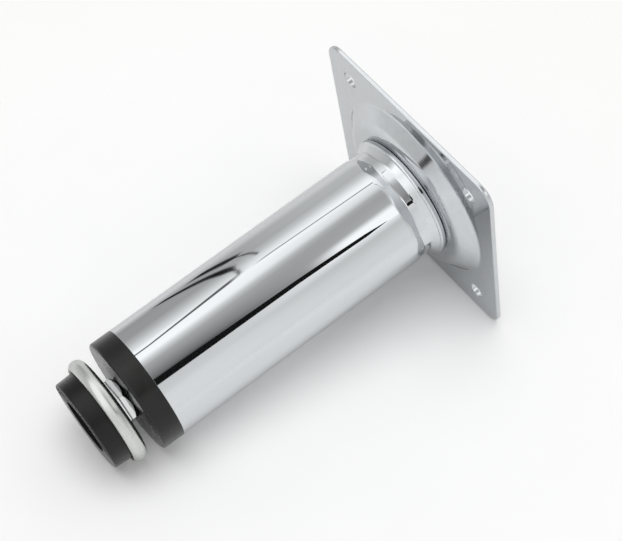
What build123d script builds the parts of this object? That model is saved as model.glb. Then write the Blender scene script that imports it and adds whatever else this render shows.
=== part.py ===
"""Chromed steel sofa leg with a pressed mounting plate and a screw-adjusted foot, in millimetres.

The leg stands upright: the foot pad rests on z = 0, the tube runs up the Z axis and the plate lies on top.
"""
import os
from math import atan2, radians, sqrt, tan

from build123d import *

# Whole leg, with the foot set as it stands at rest
leg_height = 127.0
foot_gap = 0.15

# Share of an outline's side that the roundings at its two ends may take up
rounding_share = 0.95

# Mounting plate
plate_side = 76.0
plate_thickness = 1.5
plate_corner_radius = 6.0
plate_edge_round = 0.4
screw_hole_diameter = 5.5
screw_hole_spacing = 56.0
dish_depth = 4.2
dish_floor_radius = 25.5
dish_rim_radius = 31.5
dish_crown_round = 6.0
dish_rim_round = 1.5
dish_blend_width = 3.0

# Tube, with its rolled neck, upset bead and flared lip
tube_diameter = 38.0
tube_wall = 1.0
shoulder_height = 2.8
shoulder_round = 9.0
neck_diameter = 37.0
neck_height = 3.0
neck_base_round = 4.0
neck_top_diameter = 37.3
neck_top_round = 1.2
flare_diameter = 40.4
flare_height = 2.1
bead_diameter = 41.7
bead_base_round = 0.6
bead_top_round = 0.9
collar_diameter = 33.6
collar_clearance = 0.05
lip_diameter = 40.0
lip_round = 0.4

# End plug
plug_rim_height = 7.3
plug_edge_round = 0.8
plug_fit_clearance = 0.05
plug_sleeve_length = 16.0
plug_sleeve_wall = 2.0
plug_lead_in = 1.0
plug_floor = 3.5
boss_wall = 2.0
boss_cover = 2.0
rib_count = 6
rib_thickness = 1.6
rib_drop = 2.0

# Screw thread, insert nut and the hexagon on the stud
thread_diameter = 10.0
thread_clearance = 0.06
stud_hole_clearance = 0.6
stud_length = 30.0
stud_tip_chamfer = 1.0
nut_width = 16.0
nut_height = 8.4
nut_clearance = 0.02
nut_chamfer_angle = 30.0
hex_width = 14.0
hex_height = 3.9
hex_angle = -8.5
hex_land = 0.3
hex_chamfer_angle = 42.0

# Swivel of the stud in the foot cup
shank_diameter = 8.4
shank_clearance = 0.05
swivel_clearance = 0.15
rivet_head_diameter = 12.4
rivet_head_height = 1.5
rivet_head_round = 0.5

# Foot cup
cup_diameter = 36.0
cup_sheet = 0.9
cup_edge_radius = 2.6
cup_curl_angle = 155.0

# Foot pad
pad_exposed = 5.5
pad_diameter = 30.8
pad_base_diameter = 30.2
pad_base_round = 0.5
pad_flange_clearance = 0.25
pad_flange_height = 1.8
pad_recess_diameter = 18.0
pad_recess_depth = 4.5
rivet_pocket_clearance = 0.8

# Heights of the foot, from the floor up
cup_curl_center = pad_exposed + cup_edge_radius
cup_top = cup_curl_center + cup_edge_radius
cup_under = cup_top - cup_sheet
rivet_head_top = cup_under - swivel_clearance
rivet_head_base = rivet_head_top - rivet_head_height
rivet_pocket_base = rivet_head_base - rivet_pocket_clearance
pad_flange_base = cup_curl_center - pad_flange_height / 2
pad_flange_top = cup_curl_center + pad_flange_height / 2
hex_base = cup_top + swivel_clearance
hex_top = hex_base + hex_height
stud_tip = hex_top + stud_length

# Heights of the plug and the tube's lower end
plug_base = hex_top + foot_gap
tube_base = plug_base + plug_rim_height
nut_base = plug_base + plug_floor
nut_top = nut_base + nut_height
sleeve_top = tube_base + plug_sleeve_length
rib_height = nut_height + boss_cover - rib_drop

# Heights of the plate and the tube's upper end, from the top down
plate_under = leg_height - plate_thickness
dish_under = plate_under - dish_depth
dish_top = dish_under + plate_thickness
bead_under = dish_under - 2 * tube_wall
neck_top = bead_under - flare_height
neck_base = neck_top - neck_height
shoulder_base = neck_base - shoulder_height

# Radii of the plate and the tube
tube_radius = tube_diameter / 2
tube_bore_radius = tube_radius - tube_wall
neck_radius = neck_diameter / 2
neck_top_radius = neck_top_diameter / 2
flare_radius = flare_diameter / 2
bead_radius = bead_diameter / 2
collar_radius = collar_diameter / 2
lip_radius = lip_diameter / 2
plate_hole_radius = collar_radius + collar_clearance
dish_edge_radius = dish_rim_radius + dish_blend_width

# Shift of the dish's corners from the underside to the top, so that the pressed sheet keeps its thickness
dish_lean = plate_thickness * tan(atan2(dish_depth, dish_rim_radius - dish_floor_radius) / 2)

# Radii of the plug, the nut and the stud
thread_radius = thread_diameter / 2
stud_hole_radius = thread_radius + stud_hole_clearance
nut_bore_radius = thread_radius + thread_clearance
nut_corner_radius = nut_width / sqrt(3)
boss_radius = nut_corner_radius + boss_wall
sleeve_radius = tube_bore_radius - plug_fit_clearance
sleeve_bore_radius = sleeve_radius - plug_sleeve_wall
rib_radius = (boss_radius + sleeve_bore_radius) / 2
rib_length = sleeve_bore_radius - boss_radius + boss_wall
hex_corner_radius = hex_width / sqrt(3)
shank_radius = shank_diameter / 2
rivet_head_radius = rivet_head_diameter / 2

# Depth of the chamfers that round off the hexagons' corners
nut_chamfer = (nut_corner_radius - nut_width / 2) * tan(radians(nut_chamfer_angle))
hex_chamfer = (hex_corner_radius - hex_width / 2 + hex_land) * tan(radians(hex_chamfer_angle))

# Radii of the cup and the pad
cup_curl_radius = cup_diameter / 2 - cup_edge_radius
cup_inner_curl = cup_edge_radius - cup_sheet
cup_hole_radius = shank_radius + shank_clearance
pad_flange_reach = sqrt(cup_inner_curl**2 - (pad_flange_height / 2) ** 2) - pad_flange_clearance
pad_flange_radius = cup_curl_radius + pad_flange_reach
rivet_pocket_radius = rivet_head_radius + rivet_pocket_clearance


def turned_outline(*corners):
    """Closed half-section of a turned piece, through corners of radius, height and rounding.

    Two roundings that don't fit on the side between them are both limited by its length.
    """
    points = [Vector(radius, height) for radius, height, rounding in corners]
    roundings = [rounding for radius, height, rounding in corners]
    sides = [end - start for start, end in zip(points, points[1:] + points[:1])]
    turns = [before.get_angle(after) for before, after in zip(sides[-1:] + sides[:-1], sides)]
    reaches = [rounding * tan(radians(turn) / 2) for rounding, turn in zip(roundings, turns)]
    needs = [start + end for start, end in zip(reaches, reaches[1:] + reaches[:1])]
    rooms = [side.length * rounding_share for side in sides]
    shares = [min(1, room / need) if need > 0 else 1 for room, need in zip(rooms, needs)]
    limits = [min(before, after) for before, after in zip(shares[-1:] + shares[:-1], shares)]
    FilletPolyline(
        *points,
        radius=[rounding * limit for rounding, limit in zip(roundings, limits)],
        close=True,
    )


# Mounting plate: a square of sheet steel with a round dish pressed down to meet the tube
with BuildPart() as mounting_plate:
    with BuildSketch(Plane.XY.offset(plate_under)):
        RectangleRounded(plate_side, plate_side, plate_corner_radius)
        Circle(dish_edge_radius, mode=Mode.SUBTRACT)
        with GridLocations(screw_hole_spacing, screw_hole_spacing, 2, 2):
            Circle(screw_hole_diameter / 2, mode=Mode.SUBTRACT)
    extrude(amount=plate_thickness)
    flat_faces = mounting_plate.faces().filter_by(Axis.Z)
    fillet([edge for face in flat_faces for edge in face.outer_wire().edges()], plate_edge_round)
    with BuildSketch(Plane.XZ):
        with BuildLine():
            turned_outline(
                (plate_hole_radius, dish_under, 0),
                (dish_floor_radius, dish_under, dish_crown_round),
                (dish_rim_radius, plate_under, dish_rim_round),
                (dish_edge_radius, plate_under, 0),
                (dish_edge_radius, leg_height, 0),
                (dish_rim_radius - dish_lean, leg_height, dish_rim_round + plate_thickness),
                (dish_floor_radius - dish_lean, dish_top, dish_crown_round - plate_thickness),
                (plate_hole_radius, dish_top, 0),
            )
        make_face()
    revolve(axis=Axis.Z)

# Tube: necked by rolling, upset into a bead under the dish and flared over its floor to clamp the plate
with BuildPart() as tube:
    with BuildSketch(Plane.XZ):
        with BuildLine():
            turned_outline(
                (tube_radius, tube_base, 0),
                (tube_radius, shoulder_base, shoulder_round),
                (neck_radius, neck_base, neck_base_round),
                (neck_top_radius, neck_top, neck_top_round),
                (flare_radius, bead_under, 0),
                (bead_radius, bead_under, bead_base_round),
                (bead_radius, dish_under, bead_top_round),
                (collar_radius, dish_under, 0),
                (collar_radius, dish_top, 0),
                (lip_radius, dish_top, 0),
                (lip_radius, dish_top + tube_wall, lip_round),
                (collar_radius - tube_wall, dish_top + tube_wall, tube_wall),
                (collar_radius - tube_wall, bead_under, 0),
                (flare_radius - tube_wall, bead_under, 0),
                (neck_top_radius - tube_wall, neck_top, neck_top_round + tube_wall),
                (neck_radius - tube_wall, neck_base, neck_base_round + tube_wall),
                (tube_bore_radius, shoulder_base, shoulder_round - tube_wall),
                (tube_bore_radius, tube_base, 0),
            )
        make_face()
    revolve(axis=Axis.Z)

# End plug: a moulded cap flush with the tube, with a sleeve inside it and a ribbed boss around the nut
with BuildPart() as end_plug:
    with BuildSketch(Plane.XZ):
        with BuildLine():
            turned_outline(
                (stud_hole_radius, plug_base, 0),
                (tube_radius, plug_base, plug_edge_round),
                (tube_radius, tube_base, 0),
                (sleeve_radius, tube_base, 0),
                (sleeve_radius, sleeve_top - plug_lead_in, 0),
                (sleeve_radius - plug_lead_in / 2, sleeve_top, 0),
                (sleeve_bore_radius, sleeve_top, 0),
                (sleeve_bore_radius, nut_base, 0),
                (stud_hole_radius, nut_base, 0),
            )
        make_face()
    revolve(axis=Axis.Z)
    with BuildSketch(Plane.XY.offset(nut_base)):
        Circle(boss_radius)
        RegularPolygon(nut_width / 2 + nut_clearance, 6, major_radius=False, mode=Mode.SUBTRACT)
    extrude(amount=nut_height + nut_clearance)
    with BuildSketch(Plane.XY.offset(nut_top + nut_clearance)):
        Circle(boss_radius)
        Circle(stud_hole_radius, mode=Mode.SUBTRACT)
    extrude(amount=boss_cover)
    with BuildSketch(Plane.XY.offset(nut_base)):
        with PolarLocations(rib_radius, rib_count):
            Rectangle(rib_length, rib_thickness)
    extrude(amount=rib_height)

# Insert nut: a plain hexagon nut held in the boss, its bore running on the stud's thread
with BuildPart() as insert_nut:
    with BuildSketch(Plane.XZ):
        with BuildLine():
            turned_outline(
                (nut_bore_radius, nut_base, 0),
                (nut_width / 2, nut_base, 0),
                (nut_corner_radius, nut_base + nut_chamfer, 0),
                (nut_corner_radius, nut_top - nut_chamfer, 0),
                (nut_width / 2, nut_top, 0),
                (nut_bore_radius, nut_top, 0),
            )
        make_face()
    revolve(axis=Axis.Z)
    with BuildSketch(Plane.XY.offset(nut_base)):
        RegularPolygon(nut_width / 2, 6, major_radius=False)
    extrude(amount=nut_height, mode=Mode.INTERSECT)

# Foot stud: a headed screw with a hexagon to turn it by, riveted loosely into the cup
with BuildPart() as foot_stud:
    with BuildSketch(Plane.XZ):
        with BuildLine():
            turned_outline(
                (0, hex_base, 0),
                (hex_corner_radius, hex_base, 0),
                (hex_corner_radius, hex_top - hex_chamfer, 0),
                (hex_width / 2 - hex_land, hex_top, 0),
                (0, hex_top, 0),
            )
        make_face()
    revolve(axis=Axis.Z)
    with BuildSketch(Plane.XY.offset(hex_base)):
        RegularPolygon(hex_width / 2, 6, major_radius=False, rotation=hex_angle)
    extrude(amount=hex_height, mode=Mode.INTERSECT)
    with BuildSketch(Plane.XZ):
        with BuildLine():
            turned_outline(
                (0, rivet_head_base, 0),
                (rivet_head_radius, rivet_head_base, rivet_head_round),
                (rivet_head_radius, rivet_head_top, 0),
                (shank_radius, rivet_head_top, 0),
                (shank_radius, hex_base, 0),
                (thread_radius, hex_base, 0),
                (thread_radius, stud_tip - stud_tip_chamfer, 0),
                (thread_radius - stud_tip_chamfer, stud_tip, 0),
                (0, stud_tip, 0),
            )
        make_face()
    revolve(axis=Axis.Z)

# Foot cup: pressed sheet with a rounded rim that curls in under the pad's flange
with BuildPart() as foot_cup:
    with BuildSketch(Plane.XZ):
        with BuildLine():
            crown = Line((cup_hole_radius, cup_top), (cup_curl_radius, cup_top))
            outer_curl = CenterArc((cup_curl_radius, cup_curl_center), cup_edge_radius, 90, -cup_curl_angle)
            inner_curl = CenterArc((cup_curl_radius, cup_curl_center), cup_inner_curl, 90, -cup_curl_angle)
            ceiling = Line((cup_hole_radius, cup_under), (cup_curl_radius, cup_under))
            Line(outer_curl @ 1, inner_curl @ 1)
            Line(crown @ 0, ceiling @ 0)
        make_face()
    revolve(axis=Axis.Z)

# Foot pad: moulded foot with a flange caught in the cup, a hollow base and a pocket for the rivet head
with BuildPart() as foot_pad:
    with BuildSketch(Plane.XZ):
        with BuildLine():
            turned_outline(
                (0, pad_recess_depth, 0),
                (pad_recess_diameter / 2, pad_recess_depth, 0),
                (pad_recess_diameter / 2, 0, 0),
                (pad_base_diameter / 2, 0, pad_base_round),
                (pad_diameter / 2, pad_flange_base, 0),
                (pad_flange_radius, pad_flange_base, 0),
                (pad_flange_radius, pad_flange_top, 0),
                (pad_diameter / 2, cup_under, 0),
                (rivet_pocket_radius, cup_under, 0),
                (rivet_pocket_radius, rivet_pocket_base, 0),
                (0, rivet_pocket_base, 0),
            )
        make_face()
    revolve(axis=Axis.Z)

# One file for each piece
os.makedirs("parts", exist_ok=True)
pieces = {
    "mounting_plate": mounting_plate,
    "tube": tube,
    "end_plug": end_plug,
    "insert_nut": insert_nut,
    "foot_stud": foot_stud,
    "foot_cup": foot_cup,
    "foot_pad": foot_pad,
}
for name, piece in pieces.items():
    piece.part.label = name
    export_step(piece.part, f"parts/{name}.step")
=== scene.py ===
"""Looks of the chromed sofa leg: its finishes, the cut thread of its foot screw, and the studio around it."""
import logging
import math
from dataclasses import dataclass, field
from enum import Enum
from typing import Sequence

import bmesh
import bpy
from mathutils import Matrix, Vector


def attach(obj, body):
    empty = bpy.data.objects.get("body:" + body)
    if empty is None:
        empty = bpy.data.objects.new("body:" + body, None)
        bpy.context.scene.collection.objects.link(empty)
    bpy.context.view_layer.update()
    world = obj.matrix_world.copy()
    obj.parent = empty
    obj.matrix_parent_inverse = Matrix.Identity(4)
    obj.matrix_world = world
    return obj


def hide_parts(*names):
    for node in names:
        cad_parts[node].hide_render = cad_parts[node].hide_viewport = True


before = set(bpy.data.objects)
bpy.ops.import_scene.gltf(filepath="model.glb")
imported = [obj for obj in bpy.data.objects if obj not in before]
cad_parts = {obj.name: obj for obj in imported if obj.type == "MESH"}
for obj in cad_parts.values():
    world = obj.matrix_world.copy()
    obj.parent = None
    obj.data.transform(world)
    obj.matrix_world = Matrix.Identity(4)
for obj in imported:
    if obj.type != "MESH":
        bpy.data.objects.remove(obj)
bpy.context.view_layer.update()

MM = 0.001
FULL_TURN = 2 * math.pi
FULL_DEGREES = 360
HEX_SIDES = 6
WHITE = (1.0, 1.0, 1.0)
BACKDROP_LEVEL = 0.962

log = logging.getLogger("sofa_leg")

Colour = tuple[float, float, float]
Point = tuple[float, float, float]
Span = tuple[float, float]
Socket = bpy.types.NodeSocket
Input = float | Sequence[float] | Socket


class Grain(Enum):
    """Which way the fine marks of a surface run; each value stretches the noise along X, Y and Z."""

    EVEN = (1.0, 1.0, 1.0)
    ALONG_AXIS = (1.0, 1.0, 0.06)
    ROUND_AXIS = (0.12, 0.12, 1.0)


class Graph:
    """Short way to write a shader's nodes.

    NOISE_SPREAD holds the values between which a noise mostly lies, and LINE_EDGE the shares of a line's half
    width between which it fades. MIX_COLOURS and MIX_RESULT are the places of the colours among a Mix node's
    sockets.
    """

    NOISE_SPREAD: Span = (0.3, 0.7)
    LINE_EDGE: Span = (0.5, 1.5)
    MIX_COLOURS: tuple[int, int] = (6, 7)
    MIX_RESULT: int = 2

    def __init__(self, tree: bpy.types.NodeTree) -> None:
        """Empties the tree.

        Args:
            tree: Node tree of a material or of the world.
        """
        self.tree = tree
        tree.nodes.clear()

    def add(self, kind: str, settings: dict | None = None, **sockets: Input) -> bpy.types.Node:
        """Adds one node.

        Args:
            kind: Node type without its ShaderNode prefix.
            settings: Values of the node's own properties.
            sockets: Input names, with underscores for spaces, and a number, a colour or an output socket.

        Returns:
            The new node.
        """
        node = self.tree.nodes.new("ShaderNode" + kind)
        for name, value in (settings or {}).items():
            setattr(node, name, value)
        for name, value in sockets.items():
            self.put(node, name.replace("_", " "), value)
        return node

    def put(self, node: bpy.types.Node, name: str | int, value: Input) -> None:
        """Sets an input to a value, or links an output to it.

        Args:
            node: Node that has the input.
            name: Name or index of the input.
            value: Number, colour, vector or output socket.
        """
        socket = node.inputs[name]
        if isinstance(value, Socket):
            self.tree.links.new(value, socket)
        elif hasattr(value, "__len__") and len(value) == 3 and socket.type == "RGBA":
            socket.default_value = (*value, 1.0)
        else:
            socket.default_value = value

    def math(self, operation: str, *values: Input) -> Socket:
        """Adds a Math node.

        Args:
            operation: Blender's name of the operation.
            values: Its numbers or output sockets, in order.

        Returns:
            The result's socket.
        """
        node = self.add("Math", {"operation": operation})
        for index, value in enumerate(values):
            self.put(node, index, value)
        return node.outputs[0]

    def span(self, value: Socket, low: float, high: float, to_low: float, to_high: float) -> Socket:
        """Maps a range of values smoothly onto another.

        Args:
            value: Output socket that is mapped.
            low: Value that becomes to_low.
            high: Value that becomes to_high.
            to_low: Result at low and below.
            to_high: Result at high and above.

        Returns:
            The result's socket.
        """
        node = self.add("MapRange", {"interpolation_type": "SMOOTHSTEP"}, Value=value, From_Min=low,
                        From_Max=high, To_Min=to_low, To_Max=to_high)
        return node.outputs["Result"]

    def ramp(self, factor: Socket, stops: Sequence[tuple[float, Colour]]) -> Socket:
        """Adds a colour ramp.

        Args:
            factor: Output socket that runs along the ramp.
            stops: Places from 0 to 1 with their colours.

        Returns:
            The colour's socket.
        """
        node = self.add("ValToRGB", Fac=factor)
        elements = node.color_ramp.elements
        while len(elements) < len(stops):
            elements.new(1.0)
        for element, (place, colour) in zip(elements, stops):
            element.position = place
            element.color = (*colour, 1.0)
        return node.outputs["Color"]

    def grain(self, scale: float, grain: Grain, detail: float = 3.0) -> Socket:
        """Adds a noise fixed to the piece, stretched the way the marks run.

        Args:
            scale: Marks to a metre, before stretching.
            grain: Direction of the marks.
            detail: Octaves of the noise.

        Returns:
            The noise's value, around 0.5.
        """
        place = self.add("TexCoord").outputs["Object"]
        stretched = self.add("Mapping", Vector=place, Scale=grain.value).outputs["Vector"]
        return self.add("TexNoise", Vector=stretched, Scale=scale, Detail=detail).outputs["Fac"]

    def mottle(self, noise: Socket, dark: Colour, light: Colour) -> Socket:
        """Colour that varies with a noise.

        Args:
            noise: The noise's value.
            dark: Colour where it is low.
            light: Colour where it is high.

        Returns:
            The colour's socket.
        """
        return self.ramp(noise, tuple(zip(self.NOISE_SPREAD, (dark, light))))

    def from_origin(self) -> Socket:
        """Distance of a point of the piece from the piece's origin."""
        place = self.add("TexCoord").outputs["Object"]
        return self.add("VectorMath", {"operation": "LENGTH"}, Vector=place).outputs["Value"]

    def mix(self, factor: Socket, first: Input, second: Input) -> Socket:
        """Blends two colours.

        Args:
            factor: Share of the second one.
            first: Colour where the share is 0.
            second: Colour where the share is 1.

        Returns:
            The colour's socket.
        """
        node = self.add("Mix", {"data_type": "RGBA"}, Factor=factor)
        for index, colour in zip(self.MIX_COLOURS, (first, second)):
            self.put(node, index, colour)
        return node.outputs[self.MIX_RESULT]

    def mix_shaders(self, factor: Socket, first: Socket, second: Socket) -> Socket:
        """Blends two shaders.

        Args:
            factor: Share of the second one.
            first: Shader where the share is 0.
            second: Shader where the share is 1.

        Returns:
            The shader's socket.
        """
        node = self.add("MixShader", Fac=factor)
        self.put(node, 1, first)
        self.put(node, 2, second)
        return node.outputs["Shader"]

    def line(self, off: Socket, half: Socket, place: Socket, ends: Span, fade: float) -> Socket:
        """Mask of a soft line.

        Args:
            off: Distance from the line's middle.
            half: Half of the line's width.
            place: Place along the line.
            ends: Places where the line starts and ends.
            fade: How far it fades to both sides of an end.

        Returns:
            The mask.
        """
        thin = self.span(self.math("DIVIDE", off, half), *self.LINE_EDGE, 1.0, 0.0)
        low, high = ends
        starts = self.span(place, low - fade, low + fade, 0.0, 1.0)
        stops = self.span(place, high - fade, high + fade, 1.0, 0.0)
        return self.math("MULTIPLY", thin, self.math("MULTIPLY", starts, stops))


def shade(value: float) -> Colour:
    """Grey of a given lightness."""
    return (value, value, value)


def node_material(name: str) -> bpy.types.Material:
    """Makes a material that is still to get its nodes.

    Args:
        name: Name of the material.

    Returns:
        The material.
    """
    made = bpy.data.materials.new(name)
    made.use_nodes = True
    return made


@dataclass(frozen=True)
class MetalFinish:
    """Plated metal whose lightness, gloss and surface vary a little from place to place."""

    name: str
    dark: Colour
    light: Colour
    roughness: Span
    grain: Grain = Grain.EVEN
    mark_scale: float = 400.0
    mark_height: float = 0.0
    ripple_scale: float = 90.0
    ripple_height: float = 0.0
    edge_round: float = 0.0001
    edge_samples: int = 4
    edge_tint: float = 0.76

    def material(self) -> bpy.types.Material:
        """Makes the finish's material.

        Returns:
            The material.
        """
        made = node_material(self.name)
        graph = Graph(made.node_tree)
        marks = graph.grain(self.mark_scale, self.grain)
        ripple = graph.grain(self.ripple_scale, Grain.EVEN, detail=1.0)
        colour = graph.mottle(marks, self.dark, self.light)
        gloss = graph.span(marks, *graph.NOISE_SPREAD, *self.roughness)
        edges = graph.add("Bevel", {"samples": self.edge_samples}, Radius=self.edge_round)
        rippled = graph.add("Bump", Strength=1.0, Distance=self.ripple_height, Height=ripple,
                            Normal=edges.outputs["Normal"])
        scratched = graph.add("Bump", Strength=1.0, Distance=self.mark_height, Height=marks,
                              Normal=rippled.outputs["Normal"])
        shader = graph.add("BsdfPrincipled", Base_Color=colour, Metallic=1.0, Roughness=gloss,
                           Specular_Tint=shade(self.edge_tint), Normal=scratched.outputs["Normal"])
        graph.add("OutputMaterial", Surface=shader.outputs["BSDF"])
        return made


@dataclass(frozen=True)
class MouldedPlastic:
    """Satin moulded plastic with a faint spark-eroded texture and a slow cloudiness."""

    name: str
    dark: Colour
    light: Colour
    roughness: Span
    texture_scale: float = 2600.0
    texture_height: float = 4e-6
    cloud_scale: float = 120.0
    index: float = 1.5
    gleam: float = 0.28

    def material(self) -> bpy.types.Material:
        """Makes the finish's material.

        Returns:
            The material.
        """
        made = node_material(self.name)
        graph = Graph(made.node_tree)
        cloud = graph.grain(self.cloud_scale, Grain.EVEN)
        texture = graph.grain(self.texture_scale, Grain.EVEN)
        colour = graph.mottle(cloud, self.dark, self.light)
        gloss = graph.span(cloud, *graph.NOISE_SPREAD, *self.roughness)
        bump = graph.add("Bump", Strength=1.0, Distance=self.texture_height, Height=texture)
        shader = graph.add("BsdfPrincipled", Base_Color=colour, Roughness=gloss, IOR=self.index,
                           Specular_IOR_Level=self.gleam, Normal=bump.outputs["Normal"])
        graph.add("OutputMaterial", Surface=shader.outputs["BSDF"])
        return made


Finish = MetalFinish | MouldedPlastic

CHROME_TUBE = MetalFinish("tube_chrome", (0.664, 0.684, 0.7), (0.682, 0.702, 0.718), (0.02, 0.035),
                          Grain.ALONG_AXIS, ripple_height=3e-6)
CHROME_PLATE = MetalFinish("plate_chrome", (0.6, 0.619, 0.636), (0.64, 0.659, 0.675), (0.04, 0.08),
                           ripple_height=6e-6)
BRIGHT_ZINC = MetalFinish("bright_steel", (0.7, 0.71, 0.715), (0.78, 0.785, 0.79), (0.06, 0.12),
                          ripple_scale=700.0, ripple_height=5e-6, edge_round=0.0003)
DULL_ZINC = MetalFinish("zinc_steel", (0.5, 0.51, 0.52), (0.62, 0.63, 0.635), (0.3, 0.42))
SATIN_NICKEL = MetalFinish("satin_nickel", (0.6, 0.615, 0.595), (0.67, 0.685, 0.665), (0.24, 0.31),
                           Grain.ROUND_AXIS, mark_scale=900.0, mark_height=2e-6)
PLUG_PLASTIC = MouldedPlastic("black_plastic", (0.012, 0.0119, 0.0116), (0.017, 0.0168, 0.0164), (0.22, 0.3))
PAD_PLASTIC = MouldedPlastic("pad_plastic", (0.005, 0.005, 0.0048), (0.009, 0.0089, 0.0086), (0.24, 0.32))


@dataclass
class DressedNodes:
    """CAD nodes that keep their shape and get a finish each."""

    finishes: dict[str, Finish]

    def dress(self) -> None:
        """Gives each node its finish."""
        for node, finish in self.finishes.items():
            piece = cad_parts[node]
            piece.data.materials.clear()
            piece.data.materials.append(finish.material())
            log.info("%s: dressed in %s", node, finish.name)


@dataclass
class Leg(DressedNodes):
    """The fixed part of the leg: plate, tube, plug and nut."""

    finishes: dict[str, Finish] = field(default_factory=lambda: {
        "mounting_plate": CHROME_PLATE,
        "tube": CHROME_TUBE,
        "end_plug": PLUG_PLASTIC,
        "insert_nut": DULL_ZINC,
    })


@dataclass
class Foot(DressedNodes):
    """The part of the leg that the screw lets out: the metal cup and the pad in it."""

    finishes: dict[str, Finish] = field(default_factory=lambda: {
        "foot_cup": SATIN_NICKEL,
        "foot_pad": PAD_PLASTIC,
    })


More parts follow.
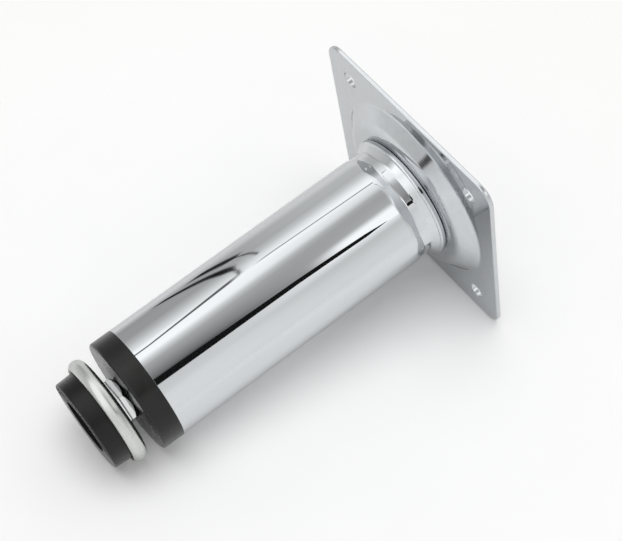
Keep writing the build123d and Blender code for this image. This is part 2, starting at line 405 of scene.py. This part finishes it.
@dataclass
class FootScrew:
    """The foot's screw with its thread cut: rivet head, shank, hexagon and thread, in millimetres.

    root_flat and crest_flat are shares of the pitch, as on a metric thread. The thread starts sunk into the
    hexagon. spare_turns of it are made below that and cut off again.
    """

    rivet_base: float = 8.15
    rivet_top: float = 9.65
    rivet_radius: float = 6.2
    rivet_round: float = 0.5
    rivet_steps: int = 4
    shank_radius: float = 4.2
    hex_base: float = 10.85
    hex_top: float = 14.75
    hex_width: float = 14.0
    hex_angle_deg: float = -8.5
    hex_land: float = 0.3
    hex_chamfer_deg: float = 42.0
    groove_base: float = 12.0
    groove_width: float = 0.3
    groove_depth: float = 0.18
    tip: float = 44.75
    tip_chamfer: float = 1.0
    thread_radius: float = 5.0
    thread_depth: float = 0.92
    pitch: float = 1.5
    root_flat: float = 0.25
    crest_flat: float = 0.125
    sunk: float = 0.5
    spare_turns: int = 2
    least_radius: float = 0.2
    weld: float = 1e-5
    steps: int = 72
    sharp_deg: float = 22.0

    def build(self) -> bpy.types.Object:
        """Makes the screw in place of the plain one of the CAD.

        Returns:
            The screw.
        """
        mesh = bmesh.new()
        self.add_head(mesh)
        self.add_thread(mesh)
        bmesh.ops.scale(mesh, vec=(MM, MM, MM), verts=mesh.verts)
        data = bpy.data.meshes.new("cut_screw")
        mesh.to_mesh(data)
        mesh.free()
        data.shade_smooth()
        data.set_sharp_from_angle(angle=math.radians(self.sharp_deg))
        screw = bpy.data.objects.new("cut_screw", data)
        bpy.context.scene.collection.objects.link(screw)
        data.materials.append(BRIGHT_ZINC.material())
        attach(screw, "stud")
        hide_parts("foot_stud")
        log.info("cut_screw: %d faces, in place of foot_stud", len(data.polygons))
        return screw

    def hex_radius(self, angle: float) -> float:
        """Distance from the axis to the hexagon's side at an angle.

        Args:
            angle: Angle about the axis, in radians.

        Returns:
            The distance.
        """
        side = FULL_TURN / HEX_SIDES
        from_flat = (angle - math.radians(self.hex_angle_deg)) % side - side / 2
        return self.hex_width / 2 / math.cos(from_flat)

    def head_rings(self, turns: Sequence[float]) -> list[list[Span]]:
        """Rings of the head's skin, from the rivet's end to the hexagon's top.

        Args:
            turns: Angles of the points of a ring, in radians.

        Returns:
            For each ring, the distance from the axis and the height of each point.
        """
        rounds = []
        for step in range(self.rivet_steps + 1):
            bend = math.pi / 2 * step / self.rivet_steps
            reach = self.rivet_radius - self.rivet_round * (1 - math.sin(bend))
            rounds.append((reach, self.rivet_base + self.rivet_round * (1 - math.cos(bend))))
        rounds.append((self.rivet_radius, self.rivet_top))
        rounds.append((self.shank_radius, self.rivet_top))
        rounds.append((self.shank_radius, self.hex_base))
        rings = [[place] * len(turns) for place in rounds]
        sides = [self.hex_radius(turn) for turn in turns]
        for depth, height in ((0.0, self.hex_base), (0.0, self.groove_base),
                              (self.groove_depth, self.groove_base + self.groove_width / 2),
                              (0.0, self.groove_base + self.groove_width)):
            rings.append([(side - depth, height) for side in sides])
        slope = math.tan(math.radians(self.hex_chamfer_deg))
        land = self.hex_width / 2 - self.hex_land
        rings.append([(side, self.hex_top - (side - land) * slope) for side in sides])
        rings.append([(land, self.hex_top)] * len(turns))
        return rings

    def add_head(self, mesh: bmesh.types.BMesh) -> None:
        """Adds the rivet head, the shank and the hexagon as one closed skin.

        Args:
            mesh: Mesh that gets them.
        """
        turns = [math.radians(self.hex_angle_deg) + FULL_TURN * k / self.steps for k in range(self.steps)]
        loops = [[mesh.verts.new((reach * math.cos(turn), reach * math.sin(turn), height))
                  for turn, (reach, height) in zip(turns, ring)] for ring in self.head_rings(turns)]
        for low, high in zip(loops, loops[1:]):
            for k in range(self.steps):
                follow = (k + 1) % self.steps
                mesh.faces.new((low[k], low[follow], high[follow], high[k]))
        mesh.faces.new(reversed(loops[0]))
        mesh.faces.new(loops[-1])

    def add_thread(self, mesh: bmesh.types.BMesh) -> None:
        """Adds the right-hand thread as a closed skin that starts inside the hexagon.

        Args:
            mesh: Mesh that gets it.
        """
        thread = bmesh.new()
        start = self.hex_top - self.sunk
        root = self.thread_radius - self.thread_depth
        crest = self.root_flat + (1 - self.root_flat - self.crest_flat) / 2
        profile = ((0.0, root), (self.root_flat, root), (crest, self.thread_radius),
                   (crest + self.crest_flat, self.thread_radius))
        turns = math.ceil((self.tip - start) / self.pitch) + self.spare_turns + 1
        columns = []
        for k in range(self.steps + 1):
            angle = FULL_TURN * k / self.steps
            column = []
            for turn in range(turns):
                for share, reach in profile:
                    height = start + self.pitch * (turn - self.spare_turns + share + k / self.steps)
                    limit = self.thread_radius - max(0.0, height - self.tip + self.tip_chamfer)
                    radius = max(min(reach, limit), self.least_radius)
                    place = (radius * math.cos(angle), radius * math.sin(angle), height)
                    column.append(thread.verts.new(place))
            columns.append(column)
        for left, right in zip(columns, columns[1:]):
            for low in range(len(left) - 1):
                thread.faces.new((left[low], right[low], right[low + 1], left[low + 1]))
        bmesh.ops.remove_doubles(thread, verts=thread.verts, dist=self.weld)
        for height, way in ((start, -1), (self.tip, 1)):
            everything = [*thread.verts, *thread.edges, *thread.faces]
            bmesh.ops.bisect_plane(thread, geom=everything, dist=self.weld, plane_co=(0, 0, height),
                                   plane_no=(0, 0, way), clear_outer=True)
        open_edges = [edge for edge in thread.edges if edge.is_boundary]
        bmesh.ops.holes_fill(thread, edges=open_edges)
        bmesh.ops.recalc_face_normals(thread, faces=thread.faces)
        spare = bpy.data.meshes.new("thread")
        thread.to_mesh(spare)
        thread.free()
        mesh.from_mesh(spare)
        bpy.data.meshes.remove(spare)


def stage_sheet(name: str, corners: Sequence[Vector], faces: Sequence[tuple[int, ...]]) -> bpy.types.Object:
    """Makes a sheet of the stage, with a material that is still to get its nodes.

    Args:
        name: Name of the sheet and of its material.
        corners: Its points.
        faces: Indices of each face's points.

    Returns:
        The sheet.
    """
    mesh = bpy.data.meshes.new(name)
    mesh.from_pydata(corners, [], faces)
    mesh.update()
    sheet = bpy.data.objects.new(name, mesh)
    bpy.context.scene.collection.objects.link(sheet)
    mesh.materials.append(node_material(name))
    return sheet


def stage_square(name: str, along: Vector, up: Vector, reach: float) -> bpy.types.Object:
    """Makes a square sheet of the stage around its origin.

    Args:
        name: Name of the sheet and of its material.
        along: Direction of one side.
        up: Direction that the sheet faces.
        reach: Half of its side.

    Returns:
        The sheet.
    """
    side = up.cross(along).normalized()
    corners = [along * (a * reach) + side * (s * reach) for a, s in ((-1, -1), (1, -1), (1, 1), (-1, 1))]
    return stage_sheet(name, corners, [(0, 1, 2, 3)])


@dataclass
class Table:
    """White table on which the leg lies; it shows only from above and fades out away from the leg.

    The glow fields give a painted light: a faint emission over a band along the tube, with the table's white
    dimmed by as much, so that the leg's shadow there is painted paler while the open table stays as bright.
    The band sets in over the first span and ends over the second, heights from the table's middle.
    """

    touch: Point = (0.0, 0.018, 0.0077)
    rise_deg: float = 9.6
    shift: float = 0.06
    reach: float = 0.6
    fade: Span = (0.1, 0.22)
    shades: Span = (0.94, 0.955)
    grain_scale: float = 30.0
    painted_glow: float = 0.1
    painted_glow_start: Span = (-0.072, -0.045)
    painted_glow_fade: Span = (-0.007, 0.033)

    def build(self) -> bpy.types.Object:
        """Makes the table top.

        Returns:
            The table.
        """
        rise = math.radians(self.rise_deg)
        along = Vector((0.0, math.sin(rise), math.cos(rise)))
        up = Vector((0.0, -math.cos(rise), math.sin(rise)))
        table = stage_square("table_top", along, up, self.reach)
        table.location = Vector(self.touch) + along * self.shift
        self.dress(table)
        return table

    def dress(self, table: bpy.types.Object) -> None:
        """Gives the table its matt white, with a painted glow that pales the leg's shadow on part of it.

        Args:
            table: The table.
        """
        graph = Graph(table.data.materials[0].node_tree)
        height = graph.add("SeparateXYZ", Vector=graph.add("TexCoord").outputs["Object"]).outputs["Z"]
        # painted light: an emission over a band of the table, rising over the start span and falling over the
        # fade span, that pales the leg's shadow there
        painted_glow = graph.math("MULTIPLY", graph.span(height, *self.painted_glow_start, 0.0, 1.0),
                          graph.span(height, *self.painted_glow_fade, self.painted_glow, 0.0))
        plain = graph.mottle(graph.grain(self.grain_scale, Grain.EVEN), *map(shade, self.shades))
        # the table's white is dimmed by the painted glow's share, so only the shadowed part gets lighter
        rest = graph.math("MULTIPLY_ADD", painted_glow, -1 / BACKDROP_LEVEL, 1.0)
        dimmed = graph.add("VectorMath", {"operation": "SCALE"}, Vector=plain, Scale=rest)
        matt = graph.add("BsdfDiffuse", Color=dimmed.outputs["Vector"])
        lit = graph.add("Emission", Color=WHITE, Strength=painted_glow)
        surface = graph.add("AddShader")
        graph.put(surface, 0, matt.outputs["BSDF"])
        graph.put(surface, 1, lit.outputs["Emission"])
        behind = graph.add("NewGeometry").outputs["Backfacing"]
        faded = graph.span(graph.from_origin(), *self.fade, 0.0, 1.0)
        clear = graph.add("BsdfTransparent")
        seen = graph.mix_shaders(graph.math("MAXIMUM", behind, faded), surface.outputs["Shader"],
                                 clear.outputs["BSDF"])
        graph.add("OutputMaterial", Surface=seen)


@dataclass
class ClearFloor:
    """Clear floor under the standing leg, which shows only the soft shadow round its foot.

    tints gives the floor's tint where all, half and none of the light from above is kept off.
    """

    reach: float = 0.25
    shadow_reach: float = 0.05
    shadow_samples: int = 16
    tints: tuple[Span, ...] = ((0.0, 0.3), (0.5, 0.75), (1.0, 1.0))

    def build(self) -> bpy.types.Object:
        """Makes the floor.

        Returns:
            The floor.
        """
        floor = stage_square("clear_floor", Vector((1, 0, 0)), Vector((0, 0, 1)), self.reach)
        graph = Graph(floor.data.materials[0].node_tree)
        cover = graph.add("AmbientOcclusion", {"samples": self.shadow_samples}, Distance=self.shadow_reach)
        behind = graph.add("NewGeometry").outputs["Backfacing"]
        light = graph.math("MAXIMUM", cover.outputs["AO"], behind)
        tint = graph.ramp(light, [(place, shade(value)) for place, value in self.tints])
        clear = graph.add("BsdfTransparent", Color=tint)
        graph.add("OutputMaterial", Surface=clear.outputs["BSDF"])
        floor.visible_diffuse = False
        floor.visible_glossy = False
        floor.visible_transmission = False
        floor.visible_shadow = False
        return floor


@dataclass(frozen=True)
class DarkCloth:
    """Dark cloth that thins out over a range of distances from its sheet's origin."""

    shades: Span
    fade: Span
    weave_scale: float = 900.0

    def cover(self, sheet: bpy.types.Object) -> None:
        """Covers a sheet of the stage and hides it from all but mirror surfaces.

        Args:
            sheet: The sheet.
        """
        graph = Graph(sheet.data.materials[0].node_tree)
        weave = graph.mottle(graph.grain(self.weave_scale, Grain.EVEN), *map(shade, self.shades))
        cloth = graph.add("BsdfDiffuse", Color=weave)
        clear = graph.add("BsdfTransparent")
        thinned = graph.span(graph.from_origin(), *self.fade, 0.0, 1.0)
        seen = graph.mix_shaders(thinned, cloth.outputs["BSDF"], clear.outputs["BSDF"])
        graph.add("OutputMaterial", Surface=seen)
        sheet.visible_camera = False
        sheet.visible_diffuse = False
        sheet.visible_transmission = False
        sheet.visible_shadow = False


@dataclass
class DarkDisc:
    """Small dark disc past the foot, which shows in the plate's dish; its edge is soft outside the core."""

    place: Point = (-0.06, -0.036, -0.335)
    radius: float = 0.032
    core: float = 0.008
    corners: int = 24
    shades: Span = (0.14, 0.18)

    def build(self) -> bpy.types.Object:
        """Makes the disc.

        Returns:
            The disc.
        """
        turns = [FULL_TURN * k / self.corners for k in range(self.corners)]
        rim = [Vector((math.cos(turn), math.sin(turn), 0.0)) * self.radius for turn in turns]
        disc = stage_sheet("dark_disc", rim, [tuple(range(self.corners))])
        disc.location = self.place
        DarkCloth(self.shades, (self.core, self.radius)).cover(disc)
        return disc


@dataclass(frozen=True)
class FlagRow:
    """Width of the black flag at one height in metres: the rolls of its two edges."""

    height: float
    left: float
    right: float


@dataclass
class BlackFlag:
    """Black flag beside the camera, bent round the leg, which shows as the dark strip along the tube."""

    cloth: DarkCloth = DarkCloth(shades=(0.012, 0.02), fade=(0.5, 0.6))
    distance: float = 0.3
    rows: tuple[FlagRow, ...] = (
        FlagRow(0.012, 37.0, 40.0),
        FlagRow(0.024, 32.0, 42.4),
        FlagRow(0.04, 31.0, 43.4),
        FlagRow(0.08, 34.0, 44.9),
        FlagRow(0.135, 38.5, 46.1),
        FlagRow(0.158, 41.6, 48.3),
        FlagRow(0.174, 44.1, 49.9),
        FlagRow(0.187, 48.4, 48.8),
    )

    def build(self) -> bpy.types.Object:
        """Makes the flag.

        Returns:
            The flag.
        """
        corners = []
        for row in self.rows:
            for roll in (math.radians(row.left), math.radians(row.right)):
                across = (self.distance * math.sin(roll), -self.distance * math.cos(roll))
                corners.append(Vector((*across, row.height)))
        faces = [(k, k + 1, k + 3, k + 2) for k in range(0, len(corners) - 2, 2)]
        flag = stage_sheet("black_flag", corners, faces)
        self.cloth.cover(flag)
        return flag


@dataclass(frozen=True)
class Band:
    """Brightness of the room at one angle round the leg, from low past the foot to high past the plate."""

    roll: float
    below: float
    foot_end: float
    plate_end: float
    beyond: float


@dataclass(frozen=True)
class Lamp:
    """A bright window in the room, with soft edges: each pair is where an edge starts and ends."""

    left: Span
    right: Span
    low: Span
    high: Span
    level: float

    def mask(self, graph: Graph, roll: Socket, tilt: Socket) -> Socket:
        """Mask of the window.

        Args:
            graph: Nodes of the world.
            roll: Angle round the leg.
            tilt: Angle along the leg.

        Returns:
            The mask.
        """
        across = graph.math("MULTIPLY", graph.span(roll, *self.left, 0.0, 1.0),
                            graph.span(roll, *self.right, 1.0, 0.0))
        along = graph.math("MULTIPLY", graph.span(tilt, *self.low, 0.0, 1.0),
                           graph.span(tilt, *self.high, 1.0, 0.0))
        return graph.math("MULTIPLY", across, along)


@dataclass(frozen=True)
class Streak:
    """A dark arc in the room, such as a lamp's cable, which falls ever faster to both sides of its top."""

    top_roll: float
    top_tilt: float
    fall: float
    rolls: Span
    thin_half: float
    wide_half: float
    widens: Span
    level: float
    fade: float = 1.5

    def mask(self, graph: Graph, roll: Socket, tilt: Socket) -> Socket:
        """Mask of the arc.

        Args:
            graph: Nodes of the world.
            roll: Angle round the leg.
            tilt: Angle along the leg.

        Returns:
            The mask.
        """
        aside = graph.math("SUBTRACT", roll, self.top_roll)
        squared = graph.math("MULTIPLY", aside, aside)
        height = graph.math("MULTIPLY_ADD", squared, -self.fall, self.top_tilt)
        off = graph.math("ABSOLUTE", graph.math("SUBTRACT", tilt, height))
        half = graph.span(roll, *self.widens, self.wide_half, self.thin_half)
        return graph.line(off, half, roll, self.rolls, self.fade)


@dataclass(frozen=True)
class Seam:
    """A thin dark line along the softbox above the leg, which leans and swells past one tilt."""

    roll: float
    turn_tilt: float
    lean: float
    swell: float
    tilts: Span
    half_width: float
    level: float
    fade: float = 0.3

    def mask(self, graph: Graph, roll: Socket, tilt: Socket) -> Socket:
        """Mask of the line.

        Args:
            graph: Nodes of the world.
            roll: Angle round the leg.
            tilt: Angle along the leg.

        Returns:
            The mask.
        """
        past = graph.math("MAXIMUM", graph.math("SUBTRACT", tilt, self.turn_tilt), 0.0)
        centre = graph.math("MULTIPLY_ADD", past, self.lean, self.roll)
        half = graph.math("MULTIPLY_ADD", past, self.swell, self.half_width)
        off = graph.math("ABSOLUTE", graph.math("SUBTRACT", roll, centre))
        return graph.line(off, half, tilt, self.tilts, self.fade)


@dataclass
class Room:
    """Room around the leg: white to the camera, even for plain surfaces, banded for mirror ones.

    Angles round the leg, called roll, count from -Y, away from the table, towards +X. Angles along the leg,
    called tilt, count from square to it towards the plate. Both are in degrees.
    """

    ambient: float = 0.62
    backdrop_tint: Colour = (1.0, 1.003, 0.985)
    bands: tuple[Band, ...] = (
        Band(-180, 0.85, 0.85, 0.85, 0.85),
        Band(-140, 0.82, 0.8, 0.87, 0.8),
        Band(-122, 0.81, 0.8, 0.9, 0.8),
        Band(-104, 0.8, 0.78, 0.94, 0.8),
        Band(-97, 0.78, 0.62, 0.87, 0.8),
        Band(-90, 0.72, 0.44, 0.77, 0.8),
        Band(-84, 0.7, 0.44, 0.68, 0.8),
        Band(-62, 0.6, 0.45, 0.63, 0.8),
        Band(-50, 0.56, 0.64, 0.82, 0.9),
        Band(-42, 0.95, 0.84, 1.08, 1.0),
        Band(-34, 1.45, 1.06, 1.3, 1.2),
        Band(-29, 1.45, 1.35, 1.35, 1.25),
        Band(-12, 1.2, 1.37, 1.0, 1.0),
        Band(-3, 1.3, 0.86, 0.58, 0.85),
        Band(5, 1.32, 0.54, 0.5, 0.75),
        Band(13, 1.28, 0.44, 0.51, 0.8),
        Band(21, 1.18, 0.33, 0.55, 1.0),
        Band(29, 1.05, 0.22, 0.6, 1.3),
        Band(34, 0.97, 0.09, 0.62, 0.8),
        Band(40, 0.9, 0.2, 0.5, 0.45),
        Band(43.5, 0.88, 0.36, 0.52, 0.43),
        Band(45.5, 0.87, 0.8, 1.2, 0.42),
        Band(54, 0.86, 0.83, 1.02, 0.44),
        Band(62, 0.9, 0.87, 0.74, 0.47),
        Band(69, 0.91, 0.95, 0.76, 0.53),
        Band(75, 0.92, 0.965, 0.81, 0.6),
        Band(90, 0.93, 0.975, 0.9, 0.8),
        Band(110, 0.92, 0.94, 0.91, 0.82),
        Band(180, 0.85, 0.85, 0.85, 0.85),
    )
    foot_tilts: Span = (-4.0, 5.0)
    plate_tilts: Span = (7.5, 16.0)
    beyond_tilts: Span = (19.0, 30.0)
    lamp: Lamp = Lamp(left=(24.0, 37.0), right=(48.0, 54.0), low=(12.6, 14.6), high=(19.0, 30.0), level=1.38)
    streaks: tuple[Streak, ...] = (
        Streak(-42.0, 11.85, 0.00079, (-95.0, -46.0), 0.06, 0.36, (-75.0, -70.0), 0.015),
        Streak(-38.0, 10.97, 0.00086, (-95.0, -32.5), 0.07, 0.28, (-58.0, -46.0), 0.015),
    )
    seams: tuple[Seam, ...] = (
        Seam(-23.5, 7.2, -2.5, 0.4, (4.5, 10.8), 1.2, 0.12),
        Seam(-31.5, 12.2, 1.38, 0.0, (11.7, 60.0), 1.0, 0.35),
    )

    def build(self) -> bpy.types.World:
        """Makes the room as the scene's world.

        Returns:
            The world.
        """
        world = bpy.data.worlds.new("studio")
        bpy.context.scene.world = world
        world.use_nodes = True
        graph = Graph(world.node_tree)
        way = graph.add("SeparateXYZ", Vector=graph.add("TexCoord").outputs["Generated"]).outputs
        away = graph.math("MULTIPLY", way["Y"], -1.0)
        roll = graph.math("DEGREES", graph.math("ARCTAN2", way["X"], away))
        tilt = graph.math("DEGREES", graph.math("ARCSINE", way["Z"]))
        room = self.banded(graph, roll, tilt)
        for spot in (self.lamp, *self.streaks, *self.seams):
            room = graph.mix(spot.mask(graph, roll, tilt), room, shade(spot.level))
        mirrored = graph.add("Background", Color=room, Strength=1.0).outputs["Background"]
        even = graph.add("Background", Color=WHITE, Strength=self.ambient).outputs["Background"]
        backdrop = graph.add("Background", Color=self.backdrop_tint, Strength=BACKDROP_LEVEL)
        path = graph.add("LightPath").outputs
        lit = graph.mix_shaders(path["Is Glossy Ray"], even, mirrored)
        seen = graph.mix_shaders(path["Is Camera Ray"], lit, backdrop.outputs["Background"])
        graph.add("OutputWorld", Surface=seen)
        return world

    def banded(self, graph: Graph, roll: Socket, tilt: Socket) -> Socket:
        """Brightness of the room's soft bands.

        Args:
            graph: Nodes of the world.
            roll: Angle round the leg.
            tilt: Angle along the leg.

        Returns:
            The brightness.
        """
        place = graph.math("MULTIPLY_ADD", roll, 1 / FULL_DEGREES, 0.5)
        rows = [[(band.roll / FULL_DEGREES + 0.5, shade(getattr(band, name))) for band in self.bands]
                for name in ("below", "foot_end", "plate_end", "beyond")]
        room = graph.ramp(place, rows[0])
        for row, tilts in zip(rows[1:], (self.foot_tilts, self.plate_tilts, self.beyond_tilts)):
            room = graph.mix(graph.span(tilt, *tilts, 0.0, 1.0), room, graph.ramp(place, row))
        return room


@dataclass
class KeyLamp:
    """Soft main lamp above the leg, wide and far off so that it lights the table evenly."""

    strength: float = 1.31
    toward: Point = (0.0, -0.99, 0.1)
    spread_deg: float = 45.0

    def build(self) -> bpy.types.Object:
        """Makes the lamp.

        Returns:
            The lamp.
        """
        data = bpy.data.lights.new("key_softbox", "SUN")
        data.energy = self.strength
        data.angle = math.radians(self.spread_deg)
        lamp = bpy.data.objects.new("key_softbox", data)
        bpy.context.scene.collection.objects.link(lamp)
        lamp.rotation_mode = "QUATERNION"
        lamp.rotation_quaternion = Vector(self.toward).to_track_quat("Z", "Y")
        lamp.visible_glossy = False
        return lamp


@dataclass
class PhotoCamera:
    """Camera at the photograph's viewpoint."""

    place: Point = (0.2517, -0.4587, -0.0369)
    aim: Point = (-0.4657, 0.8562, 0.2237)
    up: Point = (-0.647, -0.5019, 0.5739)
    lens: float = 101.6
    nearest: float = 0.01

    def build(self) -> bpy.types.Object:
        """Makes the camera and sets it as the scene's own.

        Returns:
            The camera object.
        """
        data = bpy.data.cameras.new("photo_camera")
        data.lens = self.lens
        data.clip_start = self.nearest
        camera = bpy.data.objects.new("photo_camera", data)
        bpy.context.scene.collection.objects.link(camera)
        back = -Vector(self.aim).normalized()
        right = Vector(self.up).cross(back).normalized()
        turn = Matrix((right, back.cross(right), back)).transposed()
        camera.matrix_world = Matrix.Translation(self.place) @ turn.to_4x4()
        bpy.context.scene.camera = camera
        return camera


def main() -> None:
    """Builds and dresses the leg, then the studio around it."""
    logging.basicConfig(level=logging.INFO, format="%(name)s: %(message)s")
    bpy.context.scene.view_settings.view_transform = "Standard"
    Leg().dress()
    Foot().dress()
    FootScrew().build()
    for part in (Table(), ClearFloor(), DarkDisc(), BlackFlag(), Room(), KeyLamp(), PhotoCamera()):
        log.info("%s: in place", part.build().name)


if __name__ == "__main__":
    main()
